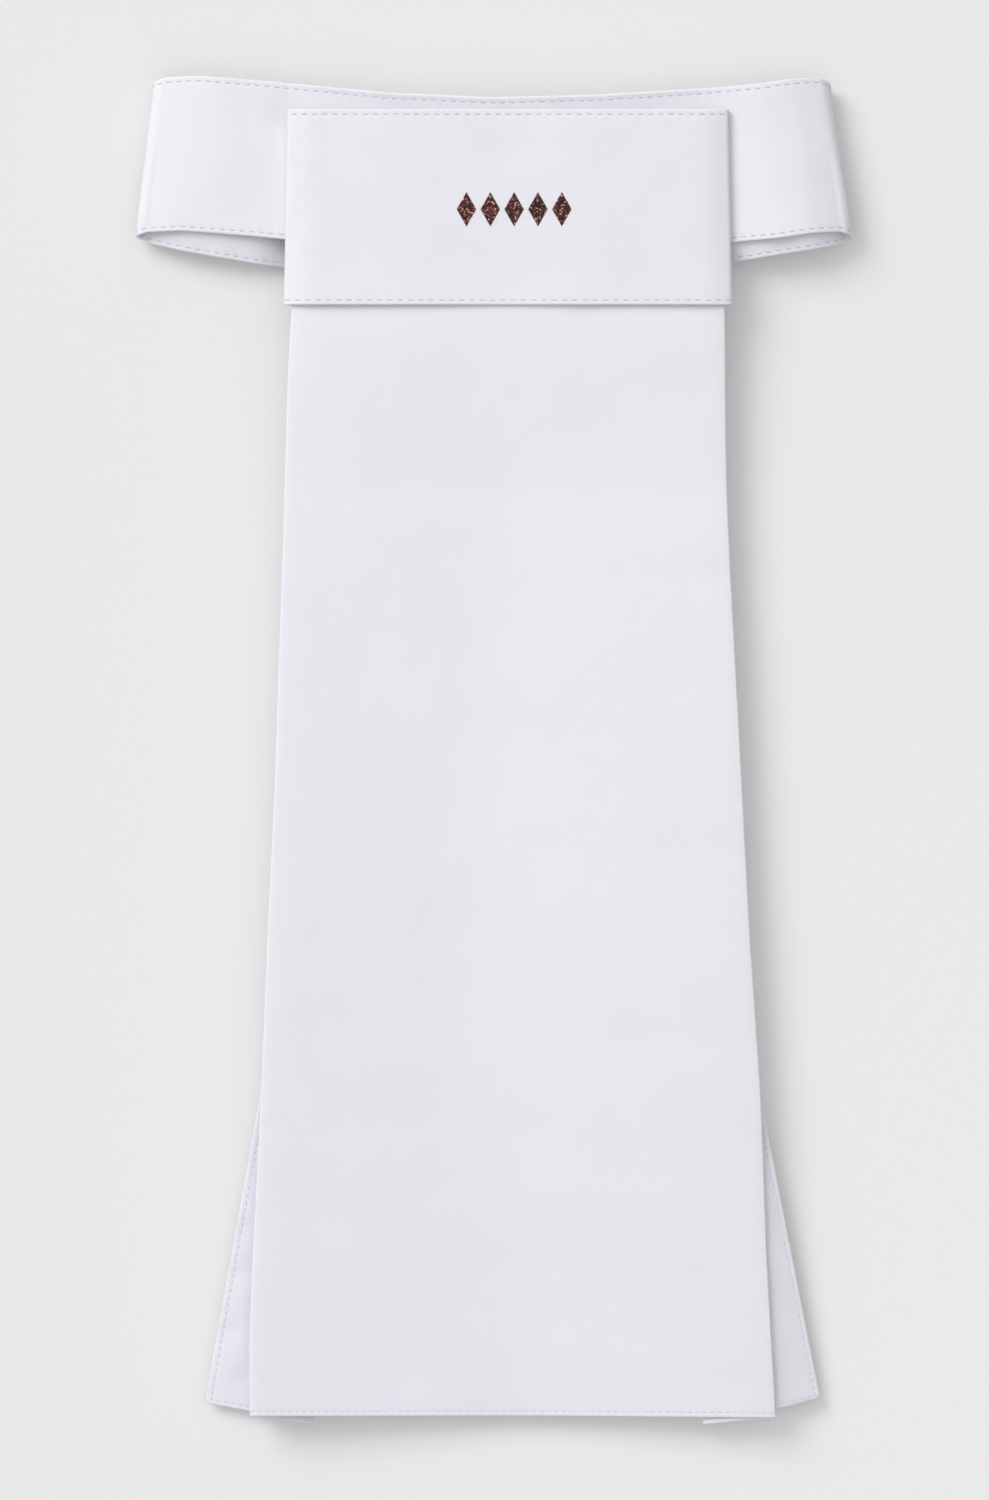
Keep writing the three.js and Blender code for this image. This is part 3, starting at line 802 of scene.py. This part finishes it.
def fall_seams(cloth):
    """The seam down the left side, along the hem and up the right side."""
    rows, columns = cloth.middle.shape[:2]
    hem = rows - 1 - SEAM_LINE
    far = columns - 1 - SEAM_LINE
    down = np.arange(0, hem + 1)
    over = np.arange(SEAM_LINE + 1, far)
    path_rows = np.concatenate([down, np.full(len(over), hem), down[::-1]])
    path_columns = np.concatenate([np.full(len(down), SEAM_LINE), over, np.full(len(down), far)])
    return seam_lines(cloth, (path_rows, path_columns))


def strip_seams(cloth):
    """The seams along both edges of a strip, and across its ends if it has any."""
    rows, columns = cloth.middle.shape[:2]
    far = columns - 1 - SEAM_LINE
    along = np.arange(rows + 1) if cloth.looped else np.arange(SEAM_LINE, rows - SEAM_LINE)
    paths = [(along, np.full(len(along), column)) for column in (SEAM_LINE, far)]
    if not cloth.looped:
        over = np.arange(SEAM_LINE + 1, far)
        paths += [(np.full(len(over), row), over) for row in (SEAM_LINE, rows - 1 - SEAM_LINE)]
    return [line for path in paths for line in seam_lines(cloth, path)]


def tape_cloth():
    across = lines_between_edges(TAPE_WIDTH, TAPE_CLOTH, TAPE_SEAM, TAPE_SPACING)[None, :]
    down = lines_between_edges(TAPE_HEIGHT, TAPE_CLOTH, TAPE_SEAM, TAPE_SPACING)[:, None]
    x = across - TAPE_WIDTH / 2
    y = TAPE_Y + TAPE_HEIGHT / 2 - down
    middle = np.stack(np.broadcast_arrays(x, y, TAPE_Z), axis=-1).astype(float)
    from_sides = np.minimum(across, TAPE_WIDTH - across)
    from_ends = np.minimum(down, TAPE_HEIGHT - down)
    thickness = cloth_thickness(from_sides, from_ends, TAPE_CLOTH, TAPE_SEAM)
    return Cloth(middle, np.stack(np.broadcast_arrays(across, down), axis=-1), thickness)


# The printed motif

def print_height(x, y):
    """Height of the print's lower side, just over the front of the cuff."""
    return CUFF_FRONT_Z + CUFF_CLOTH / 2 + cuff_front_relief(x, y) + PRINT_CLEARANCE


def lozenge_object(number):
    """A thin lozenge of glitter film that follows the front of the cuff, with flakes set in it."""
    centre_x = LOZENGE_X + (number - (LOZENGE_COUNT + 1) / 2) * LOZENGE_PITCH
    around = 48
    angle = np.arange(around) * 2 * math.pi / around
    spread = 1 / (np.abs(np.cos(angle)) + np.abs(np.sin(angle)))
    outline_x = LOZENGE_WIDTH / 2 * np.cos(angle) * spread
    outline_y = LOZENGE_HEIGHT / 2 * np.sin(angle) * spread
    rings = np.array([0.2, 0.4, 0.6, 0.8, 0.94, 1.0])
    x = centre_x + rings[:, None] * outline_x
    y = LOZENGE_Y + rings[:, None] * outline_y
    x = np.append(x.ravel(), centre_x)
    y = np.append(y.ravel(), LOZENGE_Y)
    under = print_height(x, y)
    over = under + PRINT_THICKNESS
    over[5 * around:6 * around] -= PRINT_THICKNESS / 2
    vertices = np.concatenate([np.stack([x, y, over], axis=-1), np.stack([x, y, under], axis=-1)])

    count = len(x)
    faces = []
    for side, base in ((1, 0), (-1, count)):
        for ring in range(len(rings) - 1):
            near = base + ring * around
            far = near + around
            for k in range(around):
                next_k = (k + 1) % around
                faces.append([near + k, far + k, far + next_k, near + next_k][::side])
        for k in range(around):
            faces.append([base + count - 1, base + k, base + (k + 1) % around][::side])
    rim = (len(rings) - 1) * around
    for k in range(around):
        next_k = (k + 1) % around
        faces.append([rim + k, count + rim + k, count + rim + next_k, rim + next_k])

    flakes, flake_faces = glitter_flakes(centre_x, number)
    faces += [[len(vertices) + k for k in face] for face in flake_faces]
    return new_object(f"lozenge_print_{number}", np.concatenate([vertices, flakes]), faces)


def glitter_flakes(centre_x, seed):
    """Small six-sided flakes, each tilted its own way, spread over one lozenge."""
    rng = np.random.default_rng(seed)
    half_thickness = 0.015
    sides = 6
    vertices = []
    faces = []
    while len(vertices) < FLAKE_COUNT * 2 * sides:
        x, y = rng.uniform(-1, 1, 2)
        if abs(x) + abs(y) > 0.93:
            continue
        place_x = centre_x + x * LOZENGE_WIDTH / 2
        place_y = LOZENGE_Y + y * LOZENGE_HEIGHT / 2
        place_z = print_height(place_x, place_y) + PRINT_THICKNESS
        normal = unit(np.array([rng.normal(0, FLAKE_TILT), rng.normal(0, FLAKE_TILT), 1.0]))
        first = unit(np.cross(normal, [0.0, 1.0, 0.0]))
        second = np.cross(normal, first)
        size = FLAKE_RADIUS * rng.uniform(0.7, 1.2)
        start = len(vertices)
        for offset in (half_thickness, -half_thickness):
            for k in range(sides):
                angle = 2 * math.pi * k / sides
                spoke = size * (math.cos(angle) * first + math.sin(angle) * second)
                vertices.append(np.array([place_x, place_y, place_z]) + spoke + offset * normal)
        faces.append([start + k for k in range(sides)])
        faces.append([start + sides + k for k in range(sides)][::-1])
        for k in range(sides):
            next_k = (k + 1) % sides
            faces.append([start + k, start + sides + k, start + sides + next_k, start + next_k])
    return np.array(vertices), faces


# Materials

class Shader:
    """A material's node tree, with one Principled shader."""

    def __init__(self, name, **settings):
        self.material = bpy.data.materials.new(name)
        self.material.use_nodes = True
        self.tree = self.material.node_tree
        self.surface = self.tree.nodes["Principled BSDF"]
        for socket, value in settings.items():
            self.surface.inputs[socket.replace("_", " ")].default_value = value

    def node(self, kind, inputs=(), **settings):
        """A node with the given settings. inputs are (socket, value or output) pairs."""
        made = self.tree.nodes.new(kind)
        for name, value in settings.items():
            setattr(made, name, value)
        for socket, value in inputs:
            if isinstance(value, bpy.types.NodeSocket):
                self.tree.links.new(value, made.inputs[socket])
            else:
                made.inputs[socket].default_value = value
        return made

    def math(self, operation, a, b=0.0):
        return self.node("ShaderNodeMath", [(0, a), (1, b)], operation=operation).outputs[0]

    def blend(self, share, a, b):
        """Colours or numbers, mixed by a share."""
        kind = "RGBA" if isinstance(a, tuple) else "FLOAT"
        made = self.node("ShaderNodeMix", data_type=kind)
        sockets = [s for s in made.inputs if s.enabled]
        for socket, value in zip(sockets, (share, a, b)):
            if isinstance(value, bpy.types.NodeSocket):
                self.tree.links.new(value, socket)
            else:
                socket.default_value = value
        return [s for s in made.outputs if s.enabled][0]

    def noise(self, vector, scale, detail=2.0):
        made = self.node("ShaderNodeTexNoise", [("Vector", vector), ("Scale", scale), ("Detail", detail)])
        return made.outputs["Fac"]

    def scaled(self, vector, x, y):
        return self.node("ShaderNodeMapping", [("Vector", vector), ("Scale", (x, y, 1.0))]).outputs[0]

    def use_bump(self, height, strength, distance):
        made = self.node(
            "ShaderNodeBump", [("Height", height), ("Strength", strength), ("Distance", distance * MM)],
        )
        self.tree.links.new(made.outputs[0], self.surface.inputs["Normal"])

    def use_colour(self, output):
        self.tree.links.new(output, self.surface.inputs["Base Color"])


def woven_material(name, light, dark, thread_pitch, relief):
    """Plain weave on the flat cloth: threads over and under each other, with thicker ones among them."""
    shader = Shader(
        name, Roughness=0.85, Specular_IOR_Level=0.1,
        Subsurface_Weight=0.4, Subsurface_Radius=(1.0, 1.0, 1.0), Subsurface_Scale=CLOTH_SCATTER * MM,
    )
    flat = shader.node("ShaderNodeUVMap", uv_map="cloth").outputs[0]
    threads = shader.scaled(flat, 1 / (thread_pitch * MM), 1 / (thread_pitch * MM))
    parts = shader.node("ShaderNodeSeparateXYZ", [(0, threads)])
    crown_a = shader.math("ABSOLUTE", shader.math("SINE", shader.math("MULTIPLY", parts.outputs[0], math.pi)))
    crown_b = shader.math("ABSOLUTE", shader.math("SINE", shader.math("MULTIPLY", parts.outputs[1], math.pi)))
    checks = shader.node("ShaderNodeTexChecker", [("Vector", threads), ("Scale", 1.0)]).outputs["Fac"]
    weave = shader.blend(checks, crown_a, crown_b)
    slubs_a = shader.noise(shader.scaled(flat, 1 / (0.5 * MM), 1 / (9 * MM)), 1.0)
    slubs_b = shader.noise(shader.scaled(flat, 1 / (9 * MM), 1 / (0.5 * MM)), 1.0)
    slubs = shader.math("ADD", slubs_a, slubs_b)
    height = shader.math("ADD", shader.math("MULTIPLY", weave, 0.6), slubs)
    shader.use_bump(height, relief, 0.06)
    cloudy = shader.noise(shader.scaled(flat, 1 / (28 * MM), 1 / (28 * MM)), 1.0, 3.0)
    share = shader.math("MULTIPLY", shader.math("ADD", cloudy, shader.math("MULTIPLY", slubs, 0.25)), 0.7)
    shader.use_colour(shader.blend(share, light, dark))
    return shader.material


def thread_material(name, light, dark):
    """Twisted sewing thread, coloured darker and more violet than the cloth: painted shade of the stitches
    pulled into it.
    """
    shader = Shader(name, Roughness=0.8, Specular_IOR_Level=0.2)
    place = shader.node("ShaderNodeTexCoord").outputs["Object"]
    wave = [("Vector", place), ("Scale", 4 / MM), ("Distortion", 1.5)]
    twist = shader.node("ShaderNodeTexWave", wave, bands_direction="DIAGONAL").outputs["Fac"]
    shader.use_bump(twist, 0.4, 0.03)
    shader.use_colour(shader.blend(twist, dark, light))
    return shader.material


def tape_material():
    """Looped side of a touch fastener."""
    shader = Shader("fastener_tape", Roughness=0.95, Specular_IOR_Level=0.2, Sheen_Weight=0.3)
    place = shader.node("ShaderNodeTexCoord").outputs["Object"]
    loops = shader.node("ShaderNodeTexVoronoi", [("Vector", place), ("Scale", 1.6 / MM)]).outputs["Distance"]
    fuzz = shader.math("ADD", loops, shader.noise(place, 4 / MM))
    shader.use_bump(fuzz, 0.9, 0.25)
    shader.use_colour(shader.blend(loops, (0.78, 0.78, 0.81, 1), (0.62, 0.62, 0.66, 1)))
    return shader.material


def glitter_material():
    """Copper glitter in a dark film: small cells, most of them dark and some bright."""
    shader = Shader("glitter_print", Roughness=0.32, Metallic=0.85, Coat_Weight=0.3, Coat_Roughness=0.2)
    place = shader.node("ShaderNodeTexCoord").outputs["Object"]
    cells = shader.node("ShaderNodeTexVoronoi", [("Vector", place), ("Scale", 2.4 / MM)])
    value = shader.node("ShaderNodeSeparateColor", [(0, cells.outputs["Color"])]).outputs[0]
    ramp = shader.node("ShaderNodeValToRGB", [(0, value)])
    ramp.color_ramp.interpolation = "CONSTANT"
    stops = [
        (0.0, (0.030, 0.010, 0.010, 1)), (0.45, (0.085, 0.028, 0.024, 1)),
        (0.72, (0.24, 0.080, 0.065, 1)), (0.90, (0.62, 0.32, 0.27, 1)),
    ]
    while len(ramp.color_ramp.elements) < len(stops):
        ramp.color_ramp.elements.new(0.5)
    for element, (position, colour) in zip(ramp.color_ramp.elements, stops):
        element.position = position
        element.color = colour
    shader.use_bump(value, 0.5, 0.12)
    shader.use_colour(ramp.outputs[0])
    return shader.material


def floor_material():
    """A pale surface, a little paler away from the key light so that it looks even."""
    shader = Shader("pale_surface", Roughness=0.9, Specular_IOR_Level=0.1)
    place = shader.node("ShaderNodeTexCoord").outputs["Object"]
    x, y, _ = KEY_DIRECTION
    away = (-x / math.hypot(x, y), -y / math.hypot(x, y), 0.0)
    run = shader.node("ShaderNodeVectorMath", [(0, place), (1, away)], operation="DOT_PRODUCT")
    level = shader.math("ADD", FLOOR_LEVEL, shader.math("MULTIPLY", run.outputs["Value"], FLOOR_GAIN))
    shader.use_colour(shader.node("ShaderNodeCombineColor", [(0, level), (1, level), (2, level)]).outputs[0])
    shader.surface.inputs["Emission Color"].default_value = (1.0, 1.0, 1.0, 1)
    shader.surface.inputs["Emission Strength"].default_value = FLOOR_GLOW
    return shader.material


# Studio

def make_camera():
    data = bpy.data.cameras.new("camera")
    data.sensor_width = SENSOR
    data.lens = SENSOR * CAMERA_HEIGHT / (PHOTO_HEIGHT_PX * PIXEL)
    camera = bpy.data.objects.new("camera", data)
    camera.location = (CAMERA_X * MM, CAMERA_Y * MM, CAMERA_HEIGHT * MM)
    bpy.context.scene.collection.objects.link(camera)
    bpy.context.scene.camera = camera


def make_studio():
    half = FLOOR_SIZE / 2
    corners = [(-half, -half, -0.05), (half, -half, -0.05), (half, half, -0.05), (-half, half, -0.05)]
    floor = new_object("surface", corners, [[0, 1, 2, 3]])
    floor.data.materials.append(floor_material())

    x, y, z = KEY_DIRECTION
    key = bpy.data.lights.new("key", "AREA")
    key.shape = "DISK"
    key.size = KEY_SIZE * MM
    key.energy = KEY_POWER
    lamp = bpy.data.objects.new("key", key)
    lamp.location = [part * KEY_DISTANCE * MM for part in KEY_DIRECTION]
    lamp.rotation_euler = (math.atan2(math.hypot(x, y), z), 0, math.atan2(y, x) + math.pi / 2)
    lamp.visible_camera = False
    bpy.context.scene.collection.objects.link(lamp)

    world = bpy.data.worlds.new("dome")
    world.use_nodes = True
    nodes = world.node_tree.nodes
    links = world.node_tree.links
    background = nodes["Background"]
    direction = nodes.new("ShaderNodeTexCoord").outputs["Generated"]
    lean = DOME_LEAN / math.hypot(x, y)
    slope = nodes.new("ShaderNodeVectorMath")
    slope.operation = "DOT_PRODUCT"
    slope.inputs[1].default_value = (lean * x, lean * y, DOME_OVERHEAD)
    links.new(direction, slope.inputs[0])
    level = nodes.new("ShaderNodeMath")
    level.operation = "MAXIMUM"
    level.inputs[1].default_value = DOME_LEAST
    links.new(slope.outputs["Value"], level.inputs[0])
    links.new(level.outputs[0], background.inputs["Strength"])
    background.inputs["Color"].default_value = (1.0, 1.0, 1.0, 1)
    bpy.context.scene.world = world
    bpy.context.scene.view_settings.view_transform = "Standard"


def dress(piece, material, slot, *nodes):
    """Gives a piece its material and its body, and hides the imported nodes it stands for. slot is not used.
    """
    piece.data.materials.append(material)
    if nodes:
        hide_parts(*nodes)
    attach(piece, "root")
    return piece


def make_tie():
    cotton = woven_material("cotton_poplin", BAND_LIGHT, BAND_DARK, 0.32, 0.35)
    fall_cotton = woven_material("cotton_poplin_fall", FALL_LIGHT, FALL_DARK, 0.32, 0.35)
    # The threads' colours hold painted shade of the stitches.
    thread = thread_material("sewing_thread_painted_shade", BAND_THREAD_PAINTED_SHADE_LIGHT, BAND_THREAD_PAINTED_SHADE_DARK)
    fall_sewing = thread_material("sewing_thread_fall_painted_shade", FALL_THREAD_PAINTED_SHADE_LIGHT, FALL_THREAD_PAINTED_SHADE_DARK)

    band = neck_band_cloth()
    band_piece = dress(cloth_object("neck_band_cloth", band), cotton, "cotton", "neck_band")
    band_thread = dress(thread_object("neck_band_seams", strip_seams(band), BAND_SEAM), thread, "cotton")

    tape = tape_cloth()
    tape_piece = cloth_object("fastener_patch", tape)
    dress(tape_piece, tape_material(), "fastener_tape", "back_fastener")

    fall = fall_cloth()
    fall_piece = dress(cloth_object("fall_cloth", fall), fall_cotton, "cotton", "bib")
    fall_thread = dress(thread_object("fall_seams", fall_seams(fall), FALL_SEAM), fall_sewing, "cotton")

    cuff = cuff_cloth()
    cuff_piece = dress(cloth_object("cuff_cloth", cuff), cotton, "cotton", "cuff")
    cuff_thread = dress(thread_object("cuff_seams", strip_seams(cuff), CUFF_SEAM), thread, "cotton")

    glitter = glitter_material()
    for number in range(1, LOZENGE_COUNT + 1):
        dress(lozenge_object(number), glitter, "glitter_print", f"lozenge_{number}")


make_camera()
make_studio()
make_tie()
